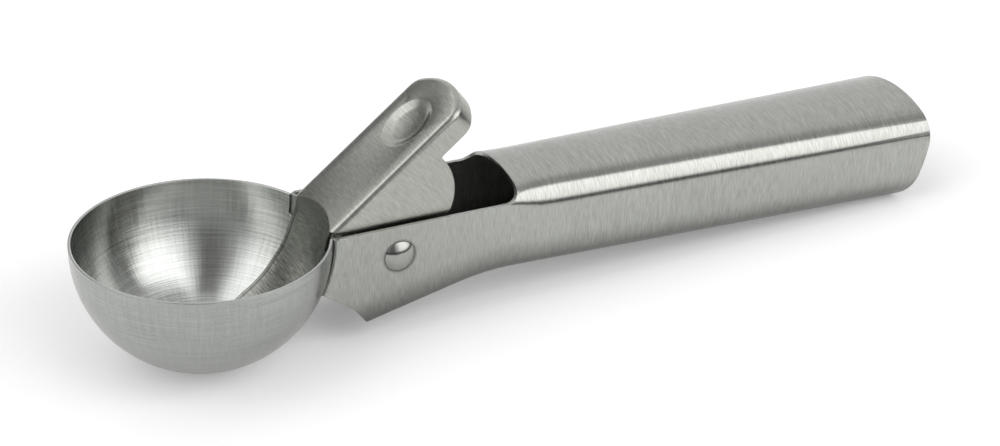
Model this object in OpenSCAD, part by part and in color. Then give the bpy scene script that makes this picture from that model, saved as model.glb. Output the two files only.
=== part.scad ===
// Lever ice cream scoop, satin stainless sheet, in millimetres, +Z up, handle towards +X.
// It lies on the bowl and on the rear edge of the handle, as it does on a table.
// Every piece is drawn in the rim frame: origin at the middle of the bowl rim,
// X towards the handle and Z square to the rim. rested() then lays it down.

/* [Bowl] */
// Diameter over the rim
bowl_d = 53; // [51:0.5:55]
// Sheet thickness of the bowl
bowl_t = 0.55; // [0.5:0.05:0.7]
// Height of the rim above the centre of the ball
rim_rise = 1.16; // [0.8:0.1:1.5]
// Depth of the slot in the rim where the lever enters
slot_depth = 4.9; // [4.6:0.1:5.2]
// Corner radius of the slot
slot_corner = 1; // [0.6:0.1:1.6]

/* [Handle] */
// Sheet thickness of the handle and of the lever
sheet_t = 0.8; // [0.7:0.05:0.9]
// Distance from the bowl centre to the end of the handle
handle_reach = 175; // [170:1:185]
// Half width across the cheeks
cheek_half_w = 11.9; // [11.7:0.1:12.3]
// Widening of each side per millimetre behind the cheeks
side_splay = 0.0318; // [0.02:0.002:0.036]
// Height of the crown above the rim
crown_rise = 4.36; // [4:0.1:4.8]
// Radius of the crown
crown_r = 24.3; // [23:0.5:26]
// Radius of the shoulders along the handle
shoulder_r = 7.7; // [7:0.1:8]
// Corner radius at the lower front of the cheeks
corner_front_r = 2; // [1.6:0.1:2.6]
// Corner radius at the lower rear of the handle
corner_rear_r = 6.6; // [5.5:0.1:7]
// Depth of the floor below the rim at the bend
floor_depth = 16.15; // [15.8:0.05:16.6]
// Radius of the bulged rear end in side view
end_r = 34.1; // [30:1:40]
// Position of the crown edge behind the lever
crown_start = 67.2; // [66.5:0.1:68]

/* [Lever] */
// Angle of the thumb plate to the rim
plate_angle = 38.9; // [38:0.1:39.5]
// Length of the thumb plate from the fold to the tip
plate_len = 39.5; // [38.5:0.1:40]
// Radius of the rolled edge of the plate
edge_roll = 1.4; // [1.1:0.1:1.6]
// Half width of the blade that follows the bowl
blade_half_w = 9.2; // [8.8:0.1:9.6]
// Depth of the thumb dish
dish_depth = 1.2; // [0.9:0.1:1.4]

/* [Pivot] */
// Distance of the pivot behind the bowl centre
pivot_x = 38.9; // [38.5:0.1:39.3]
// Depth of the pivot below the rim
pivot_drop = 6.8; // [6.5:0.1:7]
// Diameter of the rivet shank
shank_d = 4; // [3.8:0.1:4.2]
// Diameter of the rivet heads
head_d = 7.1; // [6.8:0.1:7.4]
// Wire diameter of the spring
wire_d = 1.2; // [1:0.1:1.3]

/* [Hidden] */
$fn = 96;

// Clearances
weld_gap = 0.05;
run_gap = 0.05;
seat_gap = 0.02;
cheek_gap = 1.22;
blade_gap = 0.63;

// Bowl
bowl_r = bowl_d/2;
ball_r = sqrt(bowl_r*bowl_r + rim_rise*rim_rise);
ball_in_r = ball_r - bowl_t;
slot_half_w = 10.8;
big = 400;

// Handle outlines
cheek_in_w = cheek_half_w - sheet_t;
bend_x = 59.5;
bend_half = 6.5;
floor_rise = 0.2086;
floor_fall = 0.029;
splay_x = 66;
splay_half = 6;
cheek_shoulder_r = 3.2;
corner_front_x = 32;
corner_rear_x = 170;
end_x = handle_reach - end_r;
end_z = -1.27;
flange_in_w = 9.2;
flange_top = -0.2;
flange_roll = 0.9;
flange_r = ball_r + weld_gap;
flange_rho = sqrt(pow(flange_r + flange_roll, 2) - pow(cheek_half_w - flange_roll, 2));
lip = [21.7, -12.5];
kink = [28.4, -17];
mouth = [32.3, -21.95];
opening_corner = 3;
seam_gap = 0.3;

// Lever
fold = [24.4, 0.4];
side_w = cheek_in_w - cheek_gap;
tip_r = 13.5;
tip_corner = 4;
skirt_depth = 24;
tab_half_w = 8.3;
lip_depth = 5.4;
blade_in_r = ball_in_r - blade_gap - sheet_t;
blade_lift = 15.5;
blade_front = 3.5;
blade_neck_x = 19.5;
blade_neck_half_w = 7.5;
dish_mid = 27.2;
dish_half_l = 6.45;
dish_half_w = 5.8;
boss_r = 4.8;
lobe_c = [40.6, 5];
lobe_r = 11.6;

// Pivot and spring
pivot = [pivot_x, -pivot_drop];
shank_r = shank_d/2;
sleeve_in_r = shank_r + run_gap;
sleeve_r = sleeve_in_r + 0.75;
head_h = 1.4;
coil_r = sleeve_r + 0.6 + wire_d/2;
coil_pitch = wire_d + 0.15;
coil_turns = 4;
upper_leg_s = 17.5;
foot_lift = sheet_t + wire_d/2 + 0.16;

// Resting position: a line that touches the ball and the rear edge of the floor
rear_z = floor_z(handle_reach - 4.8);
rear_x = end_x + sqrt(end_r*end_r - pow(rear_z - end_z, 2));
rear_dist = norm([rear_x, rear_z + rim_rise]);
rest_tilt = asin(ball_r/rear_dist) - atan2(-rear_z - rim_rise, rear_x);
min_x = -ball_r - rim_rise*sin(rest_tilt);
max_x = end_x*cos(rest_tilt) + end_z*sin(rest_tilt) + end_r;
rest_x = -(min_x + max_x)/2;
rest_z = ball_r + rim_rise*cos(rest_tilt);

module rested() {
    translate([rest_x, 0, rest_z])
        rotate([0, rest_tilt, 0])
            children();
}

// Smooth blends along the handle
function clamp(v, a, b) = max(a, min(b, v));
function knee(x, x0, h) = x < x0 - h ? 0 : x > x0 + h ? x - x0 : pow(x - x0 + h, 2)/(4*h);
function half_w(x) = cheek_half_w + side_splay*knee(x, splay_x, splay_half);
function floor_z(x) =
    -floor_depth + floor_rise*(x - bend_x) - (floor_rise + floor_fall)*knee(x, bend_x, bend_half);
function ease(v) = v*v*(3 - 2*v);
function shoulder(x) =
    cheek_shoulder_r + (shoulder_r - cheek_shoulder_r)*ease(clamp((x - 61)/13, 0, 1));
function corner(x) =
    corner_front_r
    + (corner_rear_r - corner_front_r)*(x - corner_front_x)/(corner_rear_x - corner_front_x);
function arc(c, r, a0, a1, n) =
    [for (i = [0:n]) c + r*[cos(a0 + (a1 - a0)*i/n), sin(a0 + (a1 - a0)*i/n)]];

// Half of the handle section at x, from the crown to the middle of the floor, inset by t
function half_section(x, t) =
    let (
        w = half_w(x),
        rs = shoulder(x),
        rb = corner(x),
        zc = crown_rise - crown_r,
        zs = zc + sqrt(pow(crown_r - rs, 2) - pow(w - rs, 2)),
        meet = atan2(zs - zc, w - rs),
        zb = floor_z(x)
    )
    concat(
        arc([0, zc], crown_r - t, 90, meet, 7),
        arc([w - rs, zs], rs - t, meet*6/7, 0, 6),
        arc([w - rb, zb + rb], rb - t, 0, -90, 8),
        [[0, zb + t]]
    );

function ring(x, t) =
    let (h = half_section(x, t), n = len(h))
    concat(h, [for (i = [n - 2:-1:1]) [-h[i][0], h[i][1]]]);

stations = [14, 34, 53, 56, 59.5, 63, 66, 69, 72, 75.5, 79, 100, 138, 182];

// Closed solid swept through the handle sections
module handle_solid(t) {
    rings = [for (x = stations) ring(x, t)];
    n = len(rings[0]);
    last = len(stations) - 1;
    points = [for (k = [0:last]) for (p = rings[k]) [stations[k], p[0], p[1]]];
    sides = [
        for (k = [0:last - 1])
            for (i = [0:n - 1])
                let (a = k*n + i, b = k*n + (i + 1)%n)
                    each [[a, b, b + n], [a, b + n, a + n]]
    ];
    front = [for (i = [n - 1:-1:0]) i];
    back = [for (i = [0:n - 1]) last*n + i];
    polyhedron(points = points, faces = concat([front], sides, [back]), convexity = 6);
}

// Side view of everything that is kept of the swept shell
module handle_profile() {
    difference() {
        union() {
            polygon([
                [lip[0] - 4, 0],
                [crown_start + 1, 0],
                [crown_start + 1, -30],
                [mouth[0] + 30, -30],
                mouth + 0.6*(mouth - kink),
                mouth,
                kink,
                lip,
                [lip[0] - 4, lip[1] - 1]
            ]);
            translate([crown_start, -30])
                square([end_x - crown_start, 40]);
            translate([end_x, end_z])
                circle(r = end_r);
            translate([crown_start - opening_corner, 0])
                square(opening_corner);
        }
        translate([crown_start - opening_corner, opening_corner])
            circle(r = opening_corner);
        translate([-50, opening_corner])
            square([50 + crown_start, 10]);
        translate([-50, 0])
            square([50 + crown_start - opening_corner, 10]);
    }
}

module through_y(w) {
    rotate([90, 0, 0])
        linear_extrude(height = 2*w, center = true)
            children();
}

// Region behind the front of a cheek, bounded by the ball, the roll and the cheek, inset by t
module flange_side(t) {
    c = [flange_rho, cheek_half_w - flange_roll];
    difference() {
        polygon([[0, 0], [60, 0], [60, c[1]], c]);
        circle(r = flange_r + t);
    }
    translate(c)
        circle(r = flange_roll - t);
    translate([c[0], 0])
        square([60 - c[0], cheek_half_w - t]);
}

module flange_section() {
    intersection() {
        difference() {
            flange_side(0);
            flange_side(sheet_t);
        }
        translate([10, flange_in_w])
            square([flange_rho - 7.5, 10]);
    }
}

module front_flanges() {
    intersection() {
        translate([0, 0, -rim_rise])
            for (s = [0, 1])
                mirror([0, s, 0])
                    rotate([-90, 0, 0])
                        rotate_extrude(start = -8, angle = 60)
                            flange_section();
        through_y(20)
            polygon([
                [10, flange_top],
                [flange_rho + 6, flange_top],
                kink + [6, 0],
                kink,
                lip,
                [10, lip[1] - 5]
            ]);
    }
}

module bowl() {
    color([0.78, 0.78, 0.77])
        rested()
            difference() {
                translate([0, 0, -rim_rise])
                    sphere(r = ball_r);
                translate([0, 0, -rim_rise])
                    sphere(r = ball_in_r);
                translate([-big/2, -big/2, 0])
                    cube([big, big, 60]);
                rotate([90, 0, 90])
                    linear_extrude(height = 40)
                        slot_outline();
            }
}

module slot_outline() {
    translate([-slot_half_w, slot_corner - slot_depth])
        square([2*slot_half_w, 10]);
    translate([slot_corner - slot_half_w, -slot_depth])
        square([2*(slot_half_w - slot_corner), 10]);
    for (s = [-1, 1])
        translate([s*(slot_half_w - slot_corner), slot_corner - slot_depth])
            circle(r = slot_corner);
}

module handle_shell() {
    color([0.74, 0.74, 0.73])
        rested()
            difference() {
                union() {
                    difference() {
                        intersection() {
                            difference() {
                                handle_solid(0);
                                handle_solid(sheet_t);
                            }
                            through_y(25)
                                handle_profile();
                        }
                        translate([0, 0, -rim_rise])
                            rotate([90, 0, 0])
                                cylinder(h = 60, r = flange_rho, center = true);
                    }
                    front_flanges();
                }
                translate([pivot[0], 0, pivot[1]])
                    rotate([90, 0, 0])
                        cylinder(h = 60, r = shank_r + seat_gap, center = true);
                translate([0, -seam_gap/2, -40])
                    cube([big, seam_gap, 30]);
            }
}

// Outline of the plate inset by d, from one front corner round the tip to the other
function plate_outline(front, d) =
    let (
        m = [plate_len - tip_r, 0],
        rise = side_w - tip_corner,
        run = sqrt(pow(tip_r - tip_corner, 2) - rise*rise),
        c = m + [run, rise],
        turn = atan2(rise, run),
        near = arc([c[0], -c[1]], tip_corner - d, -90, -turn, 8),
        tip = arc(m, tip_r - d, -turn, turn, 24),
        far = arc(c, tip_corner - d, turn, 90, 8)
    )
    concat(
        [[front, d - side_w]],
        near,
        [for (i = [1:23]) tip[i]],
        far,
        [[front, side_w - d]]
    );

// Solid under the thumb plate with its rolled edge, in plate axes, inset by t
module plate_solid(t) {
    front = -6 - 2*t;
    roll = arc([edge_roll, -edge_roll], edge_roll - t, 180, 90, 6);
    levels = concat([[t, -skirt_depth - t]], roll);
    outline = [for (v = levels) plate_outline(front, v[0])];
    n = len(outline[0]);
    last = len(levels) - 1;
    points = [for (k = [0:last]) for (p = outline[k]) [p[0], p[1], levels[k][1]]];
    sides = [
        for (k = [0:last - 1])
            for (i = [0:n - 1])
                let (a = k*n + i, b = k*n + (i + 1)%n)
                    each [[a, a + n, b + n], [a, b + n, b]]
    ];
    bottom = [for (i = [0:n - 1]) i];
    top = [for (i = [n - 1:-1:0]) last*n + i];
    polyhedron(points = points, faces = concat([bottom], sides, [top]), convexity = 4);
}

module plate_sheet() {
    difference() {
        plate_solid(0);
        plate_solid(sheet_t);
    }
}

module in_plate() {
    translate([fold[0], 0, fold[1]])
        rotate([0, -plate_angle, 0])
            children();
}

// Lens that presses the thumb dish, grown by t
module dish_lens(t) {
    r = (dish_half_w*dish_half_w + dish_depth*dish_depth)/(2*dish_depth);
    q = (dish_half_l*dish_half_l + dish_depth*dish_depth)/(2*dish_depth);
    translate([dish_mid, 0, r - dish_depth])
        rotate([0, 90, 0])
            rotate_extrude()
                intersection() {
                    translate([r - q, 0])
                        circle(r = q + t);
                    translate([0, -30])
                        square([60, 60]);
                }
}

function boss_touch(p) =
    let (v = p - pivot, a = atan2(v[1], v[0]), b = acos(boss_r/norm(v)))
    pivot + boss_r*[cos(a + b), sin(a + b)];

function to_rim(s, n) =
    fold + s*[cos(plate_angle), sin(plate_angle)] + n*[-sin(plate_angle), cos(plate_angle)];

// Side view of the plate with its tab and skirts
module lever_profile() {
    front = [26.1, -0.2];
    notch = to_rim(27.7, -lip_depth);
    union() {
        polygon([
            to_rim(-3, 3),
            to_rim(-3, -0.9),
            front,
            boss_touch(front),
            pivot,
            lobe_c,
            notch + [-2, -3],
            notch,
            to_rim(plate_len + 3, -lip_depth),
            to_rim(plate_len + 3, 3)
        ]);
        translate(pivot)
            circle(r = boss_r);
        translate(lobe_c)
            circle(r = lobe_r);
    }
}

// Section of the blade round the bowl axis: ball part below, cone above, inset by t outwards
module blade_core(t) {
    r = blade_in_r + t;
    a = blade_lift;
    p = (r - 0.02)*[cos(a), -sin(a)];
    translate([0, -rim_rise])
        union() {
            intersection() {
                circle(r = r);
                polygon([[0, 0], [0, -40], [40, -40], 40*[cos(a - 6), -sin(a - 6)]]);
            }
            polygon([[0, 0], p, p + 14*[sin(a), cos(a)], [0, p[1] + 14*cos(a)]]);
        }
}

// Plan of the blade: round front, then sides that draw in to the neck
module blade_plan() {
    c = blade_front + blade_half_w;
    translate([c, 0])
        circle(r = blade_half_w);
    polygon([
        [c, -blade_half_w],
        [blade_neck_x, -blade_half_w],
        [blade_neck_x + 7.5, -blade_neck_half_w],
        [45, -blade_neck_half_w],
        [45, blade_neck_half_w],
        [blade_neck_x + 7.5, blade_neck_half_w],
        [blade_neck_x, blade_half_w],
        [c, blade_half_w]
    ]);
}

module blade() {
    difference() {
        intersection() {
            rotate_extrude()
                difference() {
                    blade_core(sheet_t);
                    blade_core(0);
                }
            translate([0, 0, -40])
                linear_extrude(height = 60)
                    blade_plan();
        }
        in_plate()
            translate([-60, -30, 0])
                cube([120, 60, 40]);
    }
}

module thumb_lever() {
    color([0.72, 0.72, 0.71])
        rested()
            difference() {
                union() {
                    intersection() {
                        in_plate()
                            difference() {
                                union() {
                                    plate_sheet();
                                    intersection() {
                                        dish_lens(sheet_t);
                                        translate([dish_mid - 9, -8, -4])
                                            cube([18, 16, 4 - sheet_t/2]);
                                    }
                                }
                                dish_lens(0);
                                shoulders();
                            }
                        through_y(20)
                            lever_profile();
                        difference() {
                            translate([0, -20, -30])
                                cube([80, 40, 80]);
                            rotate_extrude()
                                blade_core(0);
                        }
                    }
                    blade();
                }
                translate([pivot[0], 0, pivot[1]])
                    rotate([90, 0, 0])
                        cylinder(h = 60, r = sleeve_r + run_gap, center = true);
            }
}

// Rounded corners where the plate narrows to the blade
module shoulders() {
    r = side_w - tab_half_w;
    for (s = [0, 1])
        mirror([0, s, 0])
            translate([0, 0, -4])
                linear_extrude(height = 8)
                    difference() {
                        translate([-8, tab_half_w])
                            square([8 + r, 10]);
                        translate([r, tab_half_w])
                            circle(r = r);
                    }
}

module pivot_rivet() {
    dome_r = (head_d*head_d/4 + 1.21*head_h*head_h)/(2.2*head_h);
    color([0.82, 0.82, 0.8])
        rested()
            translate([pivot[0], 0, pivot[1]])
                rotate([90, 0, 0])
                    union() {
                        cylinder(h = 2*cheek_half_w + 0.4, r = shank_r, center = true);
                        for (s = [0, 1])
                            mirror([0, 0, s])
                                intersection() {
                                    translate([0, 0, cheek_half_w + 1.1*head_h - dome_r])
                                        sphere(r = dome_r);
                                    translate([0, 0, cheek_half_w + seat_gap])
                                        cylinder(h = head_h, r = head_d);
                                }
                    }
}

module spacer_sleeve() {
    color([0.6, 0.6, 0.58])
        rested()
            translate([pivot[0], 0, pivot[1]])
                rotate([90, 0, 0])
                    difference() {
                        cylinder(h = 2*(cheek_in_w - seat_gap), r = sleeve_r, center = true);
                        cylinder(h = 60, r = sleeve_in_r, center = true);
                    }
}

// Round wire bent through an angle, tilted so that half a turn climbs half a pitch
module wire_arc(angle) {
    rotate_extrude(angle = angle)
        translate([coil_r, 0])
            circle(d = wire_d);
}

module wire_leg(dir, length) {
    translate([coil_r, 0, 0])
        rotate([-90*dir, 0, 0])
            cylinder(h = length, d = wire_d);
}

module half_turn(j, a) {
    translate([0, 0, (j + 0.5)*coil_pitch/2])
        rotate([0, 0, a + 180*j])
            rotate([0, asin(coil_pitch/(4*coil_r)), 0])
                children();
}

// Run of the lower leg, from the coil to where it meets the floor
function leg_run(p, d, n) =
    n == 0
        ? 18
        : let (x = pivot[0] + p[0] + d[0]*leg_run(p, d, n - 1), z = floor_z(x) + foot_lift)
            (z - pivot[1] - p[1])/d[1];

module torsion_spring() {
    top = to_rim(upper_leg_s, -sheet_t - wire_d/2 - seat_gap) - pivot;
    upper_leg = sqrt(top*top - coil_r*coil_r);
    a1 = atan2(top[1], top[0]) + acos(coil_r/norm(top));
    a2 = a1 + 90;
    lower_leg = leg_run(coil_r*[cos(a2), sin(a2)], [-sin(a2), cos(a2)], 6);
    halves = 2*coil_turns;
    color([0.55, 0.56, 0.58])
        rested()
            translate([pivot[0], 0, pivot[1]])
                rotate([90, 0, 0])
                    translate([0, 0, -(halves + 0.5)*coil_pitch/4])
                        union() {
                            half_turn(0, a1)
                                wire_leg(-1, upper_leg);
                            for (j = [0:halves - 1])
                                half_turn(j, a1)
                                    wire_arc(180);
                            half_turn(halves, a1)
                                wire_arc(90);
                            half_turn(halves, a1)
                                rotate([0, 0, 90])
                                    wire_leg(1, lower_leg);
                        }
}

bowl();
handle_shell();
thumb_lever();
pivot_rivet();
spacer_sleeve();
torsion_spring();
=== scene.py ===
"""Looks of a lever ice cream scoop in satin stainless sheet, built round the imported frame."""

import math

import bpy
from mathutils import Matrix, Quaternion, Vector


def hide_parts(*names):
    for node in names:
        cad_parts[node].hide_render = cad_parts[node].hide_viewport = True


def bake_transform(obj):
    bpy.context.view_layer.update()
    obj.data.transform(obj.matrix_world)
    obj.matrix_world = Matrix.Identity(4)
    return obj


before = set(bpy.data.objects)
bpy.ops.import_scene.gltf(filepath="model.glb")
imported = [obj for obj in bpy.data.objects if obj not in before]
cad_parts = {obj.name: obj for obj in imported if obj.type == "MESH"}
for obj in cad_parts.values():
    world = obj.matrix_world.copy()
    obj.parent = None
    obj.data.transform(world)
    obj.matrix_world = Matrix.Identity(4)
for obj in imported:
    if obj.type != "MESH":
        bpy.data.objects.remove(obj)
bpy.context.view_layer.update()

# The rim frame is the source's own: its origin is the middle of the bowl's rim. In the row frame
# it is shifted, and tilted about Y because the scoop lies on the floor.
REST_TILT = math.radians(2.8176)
RIM_CENTRE = Vector((-0.0740924, 0.0, 0.0276840))
MILLIMETRES = (1000.0, 1000.0, 1000.0)

# Places and sizes in the rim frame, in millimetres. The first two radii lie within the thickness
# of the bowl's wall, and a pair of radii is where a mark is full and where it has ended.
BALL_CENTRE_DEPTH = 1.16
INSIDE_TO_R, OUTSIDE_FROM_R = 26.1, 26.4
FOLD = (24.4, 0.0, 0.4)
PLATE_TILT = math.radians(38.9)
DISH_MID, DISH_HALF_LENGTH, DISH_HALF_WIDTH = 27.2, 6.45, 5.8
BLADE_ARC_X, BLADE_HALF_WIDTH = 12.7, 9.2
BLADE_SIDE_NORMAL, BLADE_SIDE_REACH = (0.22, 0.98), 13.34
# The ring round the rivet's head bounds a painted shade where head and handle meet.
PIVOT, PAINTED_RIVET_SHADE_R = (38.9, -6.8), (3.5, 4.15)
SPOT_WELD, SPOT_WELD_R = (26.5, -8.5), (0.35, 0.95)
TUBE_MIDDLE_DEPTH = 7.0

# The handle's underside: its bend, the slopes before and behind it, and the height of the painted
# shade over it
BEND_X, BEND_Z = 59.5, -16.15
FLOOR_RISE, FLOOR_FALL = 0.2086, 0.029
BEND_ROUNDING, PAINTED_SHADE_HEIGHT = 2.0, 8.0

# Rings turned in the bowl: depth under the rim, half width and strength
BOWL_RINGS = ((4.6, 0.16, 1.0), (6.4, 0.10, 0.4), (2.9, 0.10, 0.35))

# How far brush marks, clouds and smudges move the roughness, shade and height of the steel
BRUSH_ROUGHNESS, BRUSH_SHADE, BRUSH_HEIGHT = 0.10, 0.85, 0.025
SMUDGE_ROUGHNESS, CLOUD_SHADE = 0.05, 0.12

# Directions across the brush marks, in the row frame
RIM_X = Vector((math.cos(REST_TILT), 0.0, -math.sin(REST_TILT)))
RIM_Z = Vector((math.sin(REST_TILT), 0.0, math.cos(REST_TILT)))
PLATE_ANGLE = PLATE_TILT - REST_TILT
PLATE_S = Vector((math.cos(PLATE_ANGLE), 0.0, math.sin(PLATE_ANGLE)))

# Metres
BEVEL_RADIUS = 0.00025
WELD_REACH = 0.000002
FLOOR_HALF = 2.5
FLOOR_DROP = 0.00005

SHARP_EDGE = math.radians(24.0)
STEEL_TONE = (0.418, 0.424, 0.398)
FLOOR_TONE = (0.95, 0.95, 0.95, 1.0)
FLOOR_LIFT = 0.17
DOME_LEVEL = 1.45


# ---------------------------------------------------------------- node graphs
class Graph:
    """Short calls for building a node tree. A value is a number or a socket."""

    def __init__(self, tree):
        self.tree = tree
        tree.nodes.clear()

    def add(self, kind, inputs=(), **settings):
        node = self.tree.nodes.new(kind)
        for name, value in settings.items():
            setattr(node, name, value)
        for key, value in dict(inputs).items():
            self.put(node.inputs[key], value)
        return node

    def put(self, socket, value):
        if isinstance(value, bpy.types.NodeSocket):
            self.tree.links.new(value, socket)
        else:
            socket.default_value = value

    def math(self, operation, a, b=0.0, c=0.0):
        return self.add("ShaderNodeMath", {0: a, 1: b, 2: c}, operation=operation).outputs[0]

    def plus(self, a, b):
        return self.math("ADD", a, b)

    def minus(self, a, b):
        return self.math("SUBTRACT", a, b)

    def times(self, value, *factors):
        for factor in factors:
            value = self.math("MULTIPLY", value, factor)
        return value

    def times_plus(self, a, b, c):
        return self.math("MULTIPLY_ADD", a, b, c)

    def hypotenuse(self, a, b):
        return self.math("SQRT", self.plus(self.times(a, a), self.times(b, b)))

    def vector(self, operation, a, b=(0.0, 0.0, 0.0)):
        node = self.add("ShaderNodeVectorMath", {0: a, 1: b}, operation=operation)
        return node.outputs["Value" if operation in ("DOT_PRODUCT", "LENGTH") else "Vector"]

    def turned(self, vector, angle):
        """The vector turned about Y."""
        node = self.add(
            "ShaderNodeVectorRotate",
            {"Vector": vector, "Axis": (0.0, 1.0, 0.0), "Angle": angle},
            rotation_type="AXIS_ANGLE",
        )
        return node.outputs["Vector"]

    def moved(self, vector, kind, source, target):
        """A direction or normal taken from one space to another."""
        node = self.add(
            "ShaderNodeVectorTransform",
            {"Vector": vector},
            vector_type=kind,
            convert_from=source,
            convert_to=target,
        )
        return node.outputs[0]

    def noise(self, vector, scale, detail, roughness):
        node = self.add(
            "ShaderNodeTexNoise",
            {"Vector": vector, "Scale": scale, "Detail": detail, "Roughness": roughness},
            noise_dimensions="3D",
        )
        return node.outputs["Fac"]

    def stretched_noise(self, vector, stretch, detail, roughness):
        return self.noise(self.vector("MULTIPLY", vector, stretch), 1.0, detail, roughness)

    def ripple(self, vector, scale, detail, roughness):
        """Noise round 0."""
        stretch = (scale, scale, scale)
        return self.minus(self.stretched_noise(vector, stretch, detail, roughness), 0.5)

    def span(self, value, low, high, to_low=0.0, to_high=1.0, smooth=False):
        """Goes from to_low to to_high while the value goes from low to high."""
        inputs = {
            "Value": value,
            "From Min": low,
            "From Max": high,
            "To Min": to_low,
            "To Max": to_high,
        }
        kind = "SMOOTHSTEP" if smooth else "LINEAR"
        return self.add("ShaderNodeMapRange", inputs, interpolation_type=kind).outputs["Result"]

    def fade(self, value, low, high, smooth=False):
        """1 below low and 0 above high."""
        return self.span(value, low, high, 1.0, 0.0, smooth=smooth)

    def between(self, share, at_none, at_full):
        """Goes from at_none to at_full with a share of 0 to 1."""
        return self.span(share, 0.0, 1.0, at_none, at_full)

    def window(self, value, edges):
        """1 between the inner two of four edges, easing to 0 at the outer two."""
        rising = self.span(value, edges[0], edges[1], smooth=True)
        falling = self.fade(value, edges[2], edges[3], smooth=True)
        return self.times(rising, falling)

    def mix(self, factor, a, b):
        node = self.add("ShaderNodeMix", {"Factor": factor, "A": a, "B": b}, data_type="FLOAT")
        return node.outputs["Result"]

    def xyz(self, vector):
        return self.add("ShaderNodeSeparateXYZ", {0: vector}).outputs

    def join(self, x, y, z):
        return self.add("ShaderNodeCombineXYZ", {0: x, 1: y, 2: z}).outputs[0]


def new_material(name):
    material = bpy.data.materials.new(name)
    material.use_nodes = True
    return material, Graph(material.node_tree)


# ---------------------------------------------------------------- steel
def rim_coordinates(g):
    """Object coordinates in millimetres, in the rim frame."""
    point = g.add("ShaderNodeTexCoord").outputs["Object"]
    turned = g.turned(g.vector("SUBTRACT", point, tuple(RIM_CENTRE)), -REST_TILT)
    return g.vector("MULTIPLY", turned, MILLIMETRES)


def plate_coordinates(g, point):
    """Along the thumb plate from the fold, across it and out of it, in millimetres."""
    return g.xyz(g.turned(g.vector("SUBTRACT", point, FOLD), PLATE_TILT))


def brushed(g, along, run):
    """Brush marks round 0. The X of along runs across the marks, in millimetres."""
    wide = g.stretched_noise(along, (1.1, 0.3 * run, 0.3 * run), 2.0, 0.6)
    fine = g.stretched_noise(along, (4.8, run, run), 1.0, 0.5)
    return g.minus(g.plus(g.times(wide, 0.25), g.times(fine, 0.75)), 0.5)


def steel(name, along, tangent, rough, tone=STEEL_TONE, aniso=0.85, marks=1.0, run=0.42,
          extra=None):
    """Satin steel. along(g, point) gives the brush coordinates and tangent their X direction.

    marks is the strength of the brush marks, and a smaller run makes them longer. extra adds
    what only this piece has to its roughness, shade and height.
    """
    material, g = new_material(name)
    point = rim_coordinates(g)
    brush = brushed(g, along(g, point), run)
    cloud = g.ripple(point, 0.09, 2.0, 0.5)
    smudge = g.ripple(point, 0.45, 4.0, 0.6)
    roughness = g.times_plus(brush, BRUSH_ROUGHNESS * marks, rough)
    roughness = g.plus(roughness, g.times(smudge, SMUDGE_ROUGHNESS))
    shade = g.times_plus(brush, BRUSH_SHADE * marks, 1.0)
    shade = g.plus(shade, g.times(cloud, CLOUD_SHADE))
    height = g.times(brush, BRUSH_HEIGHT * marks)
    if extra:
        roughness, shade, height = extra(g, point, roughness, shade, height)
    bevel = g.add("ShaderNodeBevel", {"Radius": BEVEL_RADIUS}, samples=4).outputs[0]
    bump = g.add(
        "ShaderNodeBump",
        {"Strength": 1.0, "Distance": 0.001, "Height": height, "Normal": bevel},
    )
    shader = g.add(
        "ShaderNodeBsdfPrincipled",
        {
            "Base Color": g.vector("MULTIPLY", tone, g.join(shade, shade, shade)),
            "Metallic": 1.0,
            "Roughness": roughness,
            "Anisotropic": aniso,
            "Tangent": g.moved(tuple(tangent), "VECTOR", "OBJECT", "WORLD"),
            "Normal": bump.outputs[0],
        },
    )
    g.add("ShaderNodeOutputMaterial", {"Surface": shader.outputs[0]})
    return material


# ---------------------------------------------------------------- finishes
def straight_along(g, point):
    """X runs along the handle."""
    return point


def bowl_along(g, point):
    """X is the height over the rim, the other two the direction round the bowl."""
    x, y, z = g.xyz(point)
    return g.join(z, x, y)


def lever_along(g, point):
    """X runs along the thumb plate, and along the meridian on the blade below the fold."""
    x, y, z = g.xyz(point)
    s, across, out = plate_coordinates(g, point)
    meridian = g.times(g.math("ARCTAN2", z, x), 25.0)
    on_plate = g.span(z, -0.6, 0.6)
    return g.join(g.mix(on_plate, meridian, s), across, g.mix(on_plate, 0.0, out))


def bowl_marks(g, point, roughness, shade, height):
    """Turned rings inside the rim, streaks down the wall, a grain that is stronger outside, and an
    inside painted lighter than the outside.
    """
    x, y, z = g.xyz(point)
    from_centre = g.vector("LENGTH", g.vector("ADD", point, (0.0, 0.0, BALL_CENTRE_DEPTH)))
    inside = g.fade(from_centre, INSIDE_TO_R, OUTSIDE_FROM_R)

    rings = 0.0
    for depth, half_width, level in BOWL_RINGS:
        off = g.math("ABSOLUTE", g.plus(z, depth))
        rings = g.plus(rings, g.span(off, 0.0, half_width, level, 0.0))
    rings = g.times(rings, inside)

    turn = g.math("ARCTAN2", y, x)
    down_the_wall = g.join(g.times(turn, 40.0), g.times(z, 0.10), inside)
    streak = g.minus(g.noise(down_the_wall, 1.0, 2.0, 0.6), 0.5)
    streak = g.times(streak, g.between(inside, 0.75, 1.0))
    grain = g.ripple(point, 3.2, 1.0, 0.5)

    shade = g.times_plus(g.minus(shade, 1.0), g.between(inside, 0.6, 1.0), 1.0)
    shade = g.times_plus(grain, g.between(inside, 0.30, 0.10), shade)
    # The bowl's inside is painted lighter than its outside
    shade = g.times(shade, g.times_plus(streak, 0.42, 1.0), g.between(inside, 0.885, 1.26))
    shade = g.times_plus(rings, 0.16, shade)
    roughness = g.times_plus(streak, 0.10, roughness)
    height = g.times_plus(streak, 0.010, height)
    return roughness, shade, g.times_plus(rings, -0.01, height)


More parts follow.
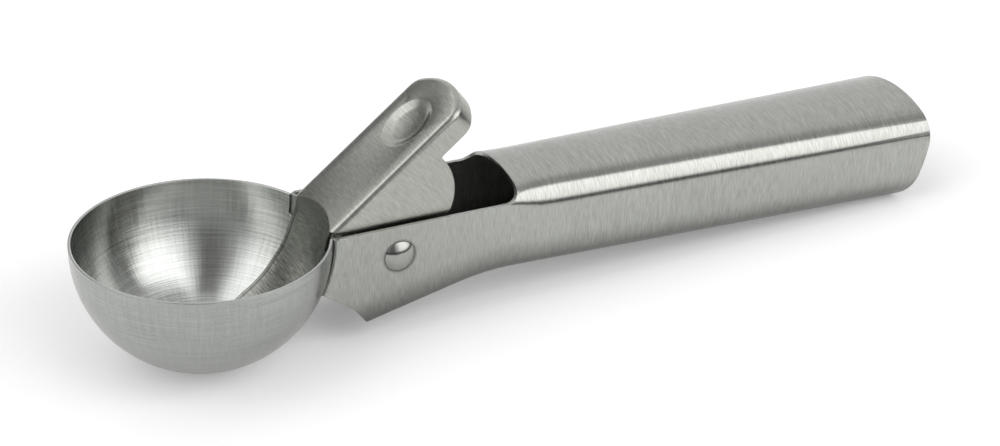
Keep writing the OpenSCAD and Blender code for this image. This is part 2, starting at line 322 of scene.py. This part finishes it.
def handle_marks(g, point, roughness, shade, height):
    """A spot weld on each cheek, painted shade round the rivet and low down, cheeks darker towards
    the front, and an inside that is rougher and painted lighter.
    """
    x, y, z = g.xyz(point)

    def near(centre, radii):
        """1 within the first radius of a place in side view, 0 beyond the second."""
        away = g.hypotenuse(g.minus(x, centre[0]), g.minus(z, centre[1]))
        return g.fade(away, radii[0], radii[1], smooth=True)

    weld = near(SPOT_WELD, SPOT_WELD_R)
    painted_rivet_shade = near(PIVOT, PAINTED_RIVET_SHADE_R)
    from_bend = g.minus(x, BEND_X)
    before = g.times_plus(from_bend, FLOOR_RISE, BEND_Z)
    behind = g.times_plus(from_bend, -FLOOR_FALL, BEND_Z)
    underside = g.math("SMOOTH_MIN", before, behind, BEND_ROUNDING)
    painted_low_shade = g.fade(g.minus(z, underside), 0.0, PAINTED_SHADE_HEIGHT, smooth=True)
    normal = g.add("ShaderNodeNewGeometry").outputs["True Normal"]
    outward = g.vector("NORMALIZE", g.join(0.0, y, g.plus(z, TUBE_MIDDLE_DEPTH)))
    faces_out = g.vector("DOT_PRODUCT", g.moved(normal, "NORMAL", "WORLD", "OBJECT"), outward)
    inside = g.fade(faces_out, -0.45, -0.25)

    shade = g.minus(shade, g.times(weld, 0.10))
    # Painted shade in a ring round the rivet head
    shade = g.minus(shade, g.times(painted_rivet_shade, 0.42))
    shade = g.times(
        shade,
        # Painted shade low down on the handle, darkest at its underside
        g.between(painted_low_shade, 1.0, 0.42),
        # The cheeks are darker towards the front
        g.span(x, 26.0, 66.0, 0.86, 0.95),
        # The inside faces are painted lighter
        g.between(inside, 1.0, 1.5),
    )
    roughness = g.times_plus(inside, 0.24, roughness)
    return roughness, shade, g.minus(height, g.times(weld, 0.05))


def lever_marks(g, point, roughness, shade, height):
    """A plate crowned across, a deeper dish, stronger marks on the blade and painted shade in lines
    along its edge.
    """
    x, y, z = g.xyz(point)
    height = g.times_plus(g.times(y, y), -1.0 / 150.0, height)

    s, across, out = plate_coordinates(g, point)
    along = g.math("DIVIDE", g.minus(s, DISH_MID), DISH_HALF_LENGTH)
    reach = g.hypotenuse(along, g.math("DIVIDE", across, DISH_HALF_WIDTH))
    dish = g.times(g.fade(reach, 0.60, 1.04, smooth=True), g.span(out, -3.0, -2.0))
    height = g.times_plus(dish, -0.36, height)

    blade = g.times(g.fade(z, -1.6, -0.6), g.fade(x, 25.0, 26.0))
    past_arc_centre = g.math("MINIMUM", g.minus(x, BLADE_ARC_X), 0.0)
    from_middle = g.vector("LENGTH", g.join(past_arc_centre, y, 0.0))
    to_outline = g.minus(BLADE_HALF_WIDTH, from_middle)
    across_part = g.times(g.math("ABSOLUTE", y), BLADE_SIDE_NORMAL[1])
    to_side = g.minus(BLADE_SIDE_REACH, g.times_plus(x, BLADE_SIDE_NORMAL[0], across_part))
    to_edge = g.math("MINIMUM", to_outline, to_side)
    # Painted shade: a dark line at the blade's very edge and another just inside it
    painted_inner_line = g.times(g.span(to_edge, 0.42, 0.55), g.fade(to_edge, 0.70, 0.95))
    painted_edge_shade = g.times(g.math("MAXIMUM", g.fade(to_edge, 0.0, 0.22), painted_inner_line), blade)

    shade = g.times_plus(g.minus(shade, 1.0), g.between(blade, 1.0, 2.6), 1.0)
    return roughness, g.times(shade, g.between(painted_edge_shade, 1.0, 0.42)), height


FINISHES = {
    "bowl": dict(
        along=bowl_along, tangent=RIM_Z, rough=0.22, run=0.07, extra=bowl_marks,
        tone=(0.414, 0.424, 0.408),
    ),
    "handle_shell": dict(along=straight_along, tangent=RIM_X, rough=0.24, extra=handle_marks),
    "thumb_lever": dict(
        along=lever_along, tangent=PLATE_S, rough=0.24, extra=lever_marks,
        tone=(0.396, 0.400, 0.368),
    ),
    "pivot_rivet": dict(
        along=straight_along, tangent=RIM_X, rough=0.18, aniso=0.2, marks=0.4,
        tone=(0.350, 0.354, 0.334),
    ),
    "spacer_sleeve": dict(
        along=straight_along, tangent=RIM_X, rough=0.34, aniso=0.3, marks=0.5,
        tone=(0.36, 0.36, 0.35),
    ),
    "torsion_spring": dict(
        along=straight_along, tangent=RIM_X, rough=0.22, aniso=0.2, marks=0.3,
        tone=(0.38, 0.38, 0.39),
    ),
}


def smooth(piece):
    """Joins the split faces of a CAD mesh and keeps only real edges sharp."""
    mesh = piece.data
    if "custom_normal" in mesh.attributes:
        mesh.attributes.remove(mesh.attributes["custom_normal"])
    mesh.polygons.foreach_set("use_smooth", [True] * len(mesh.polygons))
    weld = piece.modifiers.new("weld", "WELD")
    weld.merge_threshold = WELD_REACH
    split = piece.modifiers.new("edges", "EDGE_SPLIT")
    split.split_angle = SHARP_EDGE
    split.use_edge_sharp = False


def wind_spring(node):
    """A smoothed copy of the spring, shown in place of the CAD one, which is hidden."""
    spring = bpy.data.objects.new("spring_wire", node.data.copy())
    bpy.context.scene.collection.objects.link(spring)
    smooth(spring)
    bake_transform(spring)
    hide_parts("torsion_spring")


for name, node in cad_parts.items():
    node.data.materials.clear()
    node.data.materials.append(steel("satin_" + name, **FINISHES[name]))
    smooth(node)
wind_spring(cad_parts["torsion_spring"])


# ---------------------------------------------------------------- stage
def floor_material():
    """White paper. Rays that see it directly or in the steel find it a little lighter."""
    material, g = new_material("paper_floor")
    grain = g.noise(g.add("ShaderNodeTexCoord").outputs["Object"], 900.0, 3.0, 0.5)
    paper = g.add(
        "ShaderNodeBsdfDiffuse",
        {"Color": FLOOR_TONE, "Roughness": g.span(grain, 0.0, 1.0, 0.5, 0.7)},
    ).outputs[0]
    lift = g.add("ShaderNodeEmission", {"Color": (1.0, 1.0, 1.0, 1.0), "Strength": FLOOR_LIFT})
    lighter = g.add("ShaderNodeAddShader", {0: paper, 1: lift.outputs[0]}).outputs[0]
    path = g.add("ShaderNodeLightPath").outputs
    in_steel = g.math("MAXIMUM", path["Is Glossy Ray"], path["Is Transmission Ray"])
    seen = g.math("MAXIMUM", path["Is Camera Ray"], in_steel)
    surface = g.add("ShaderNodeMixShader", {0: seen, 1: paper, 2: lighter})
    g.add("ShaderNodeOutputMaterial", {"Surface": surface.outputs[0]})
    return material


def make_floor():
    h = FLOOR_HALF
    mesh = bpy.data.meshes.new("floor")
    mesh.from_pydata([(-h, -h, 0), (h, -h, 0), (h, h, 0), (-h, h, 0)], [], [(0, 1, 2, 3)])
    mesh.materials.append(floor_material())
    floor = bpy.data.objects.new("floor", mesh)
    bpy.context.scene.collection.objects.link(floor)
    floor.location = (0.0, 0.0, -FLOOR_DROP)


def make_world():
    """A studio dome: a wall, palest behind on the right, with banks of light in front of it.

    turn is the direction round the part, 0 at the front and positive to the right. rise is the
    height over the horizon, and lean the angle from overhead towards the front. All in degrees.
    """
    world = bpy.data.worlds.new("studio")
    bpy.context.scene.world = world
    world.use_nodes = True
    g = Graph(world.node_tree)
    x, y, z = g.xyz(g.add("ShaderNodeTexCoord").outputs["Generated"])
    front = g.times(y, -1.0)
    degrees = 180.0 / math.pi
    turn = g.times(g.math("ARCTAN2", x, front), degrees)
    rise = g.times(g.math("ARCSINE", z), degrees)
    lean = g.times(g.math("ARCTAN2", front, z), degrees)

    def left_of(full, none):
        """1 at turns below full, all the way round to the back, and 0 above none."""
        return g.window(turn, (-400.0, -399.0, full, none))

    wall = g.plus(
        g.span(turn, 50.0, 122.0, 0.32, 0.78, smooth=True),
        g.times(0.16, left_of(-60.0, -30.0)),
    )
    wall = g.minus(wall, g.times(0.14, g.window(turn, (-60.0, -40.0, -10.0, 20.0))))
    wall = g.minus(wall, g.times(0.26, left_of(-124.0, -104.0)))
    right_bank = g.times(
        g.span(lean, 28.0, 74.0, 2.10, 1.80),
        g.window(turn, (-30.0, 28.0, 56.0, 96.0)),
        g.window(lean, (27.0, 30.5, 72.0, 84.0)),
    )
    left_bank = g.times(
        1.50,
        g.window(turn, (-140.0, -112.0, -84.0, -36.0)),
        g.window(rise, (4.0, 34.0, 72.0, 90.0)),
    )
    back_left = g.times(
        g.span(rise, 20.0, 52.0, 0.16, 1.08),
        left_of(-120.0, -100.0),
        g.window(rise, (18.0, 22.0, 70.0, 88.0)),
    )
    front_top = g.times(
        1.35,
        g.window(turn, (-14.0, 14.0, 26.0, 42.0)),
        g.window(rise, (30.0, 40.0, 66.0, 84.0)),
    )
    level = wall
    for patch in (right_bank, left_bank, back_left, front_top):
        level = g.math("MAXIMUM", level, patch)
    level = g.mix(g.span(rise, 72.0, 88.0, smooth=True), level, 0.75)
    horizon = g.times(g.window(turn, (-80.0, -60.0, 80.0, 100.0)), g.fade(rise, 7.0, 12.0))
    level = g.mix(horizon, level, 0.03)
    dome = g.add("ShaderNodeBackground", {"Strength": g.times(level, DOME_LEVEL)})
    g.add("ShaderNodeOutputWorld", {"Surface": dome.outputs[0]})


def make_camera():
    """The view fitted to the photo's rim ellipse and ball outline."""
    data = bpy.data.cameras.new("camera")
    data.lens = 72.0
    data.sensor_width = 36.0
    data.sensor_fit = "HORIZONTAL"
    data.clip_start, data.clip_end = 0.01, 20.0
    camera = bpy.data.objects.new("camera", data)
    bpy.context.scene.collection.objects.link(camera)
    camera.rotation_mode = "QUATERNION"
    camera.rotation_quaternion = Quaternion((0.83777322, 0.48993674, -0.12192955, -0.20792114))
    camera.location = (-0.18495673, -0.33817895, 0.22835910)
    bpy.context.scene.camera = camera


make_floor()
make_world()
make_camera()
bpy.context.scene.view_settings.view_transform = "Standard"
